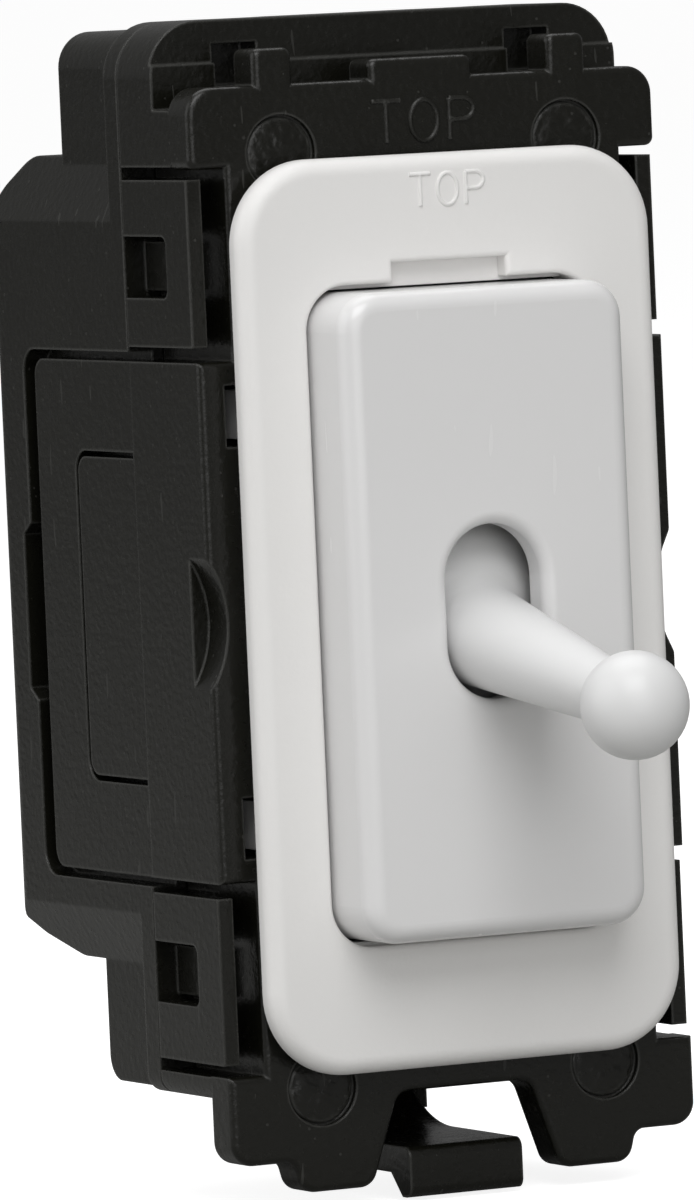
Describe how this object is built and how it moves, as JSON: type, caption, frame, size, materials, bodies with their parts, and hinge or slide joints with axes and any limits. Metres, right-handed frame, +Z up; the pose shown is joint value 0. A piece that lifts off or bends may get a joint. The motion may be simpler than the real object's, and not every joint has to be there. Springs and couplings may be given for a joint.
{
  "type": "toggle wall switch",
  "caption": "Toggle switch module for a grid frame: white ball-ended lever in a raised cover and surround, black flanged frame and housing, rear screw terminals.",
  "frame": {"origin": "middle of the cover opening, on the plane of the flange's rear face, where it seats on the grid frame", "axes": "+X right seen from the front, +Y back towards the wall box, +Z up along the module"},
  "size_m": [0.0248, 0.0435, 0.0559],
  "materials": {
    "black_moulding": "semi-gloss black urea moulding with fine grain",
    "white_plate": "fine matt texture",
    "white_cover": "polished white",
    "white_lever": "satin white",
    "nylon": "natural nylon",
    "steel": "drawn steel",
    "screw_steel": "zinc plated",
    "copper": "rolled copper strip",
    "brass": "machined brass",
    "silver": "silver alloy contact"
  },
  "bodies": {
    "housing": {"front_frame": "black_moulding", "rear_housing": "black_moulding", "front_plate": "white_plate", "toggle_cover": "white_cover", "lever_carrier": "nylon", "lever_pin": "steel", "common_strip": "copper", "first_way_strip": "copper", "second_way_strip": "copper", "rocker_pin": "steel", "fixed_contact_tips": "silver", "common_terminal": "brass", "first_way_terminal": "brass", "second_way_terminal": "brass"},
    "lever": {"toggle_lever": "white_lever", "plunger_spring": "steel"},
    "plunger": {"plunger": "nylon"},
    "rocker": {"contact_rocker": "copper", "moving_contact_tips": "silver"},
    "catch": {"grid_catch": "black_moulding"},
    "common_screw": {"common_screw": "screw_steel"},
    "first_way_screw": {"first_way_screw": "screw_steel"},
    "second_way_screw": {"second_way_screw": "screw_steel"}
  },
  "joints": [
    {"name": "lever_swing", "type": "hinge", "parent": "housing", "child": "lever", "pos_m": [0, 0.0007, 0], "axis": [1, 0, 0], "range_deg": [-20.8, 0]},
    {"name": "plunger_slide", "type": "slide", "parent": "lever", "child": "plunger", "axis": [0, 0.9836, 0.1805], "range_m": [-0.001, 0], "stiffness_N_per_m": 400, "springref_m": 0.0015, "deforming": ["plunger_spring"]},
    {"name": "rocker_tilt", "type": "hinge", "parent": "housing", "child": "rocker", "pos_m": [0, 0.0136, 0], "axis": [1, 0, 0], "range_deg": [0, 14]},
    {"name": "catch_flex", "type": "hinge", "parent": "housing", "child": "catch", "pos_m": [0, 0.0109, -0.02375], "axis": [1, 0, 0], "range_deg": [-7, 0], "stiffness_Nm_per_rad": 0.1, "springref_deg": 5.73},
    {"name": "common_turn_in", "type": "slide", "parent": "housing", "child": "common_screw", "axis": [0, -1, 0], "range_m": [0, 0.0032]},
    {"name": "first_way_turn_in", "type": "slide", "parent": "housing", "child": "first_way_screw", "axis": [0, -1, 0], "range_m": [0, 0.0032]},
    {"name": "second_way_turn_in", "type": "slide", "parent": "housing", "child": "second_way_screw", "axis": [0, -1, 0], "range_m": [0, 0.0032]}
  ],
  "couplings": [
    {"joint": "rocker_tilt", "follows": "lever_swing", "ratio": -0.673}
  ]
}
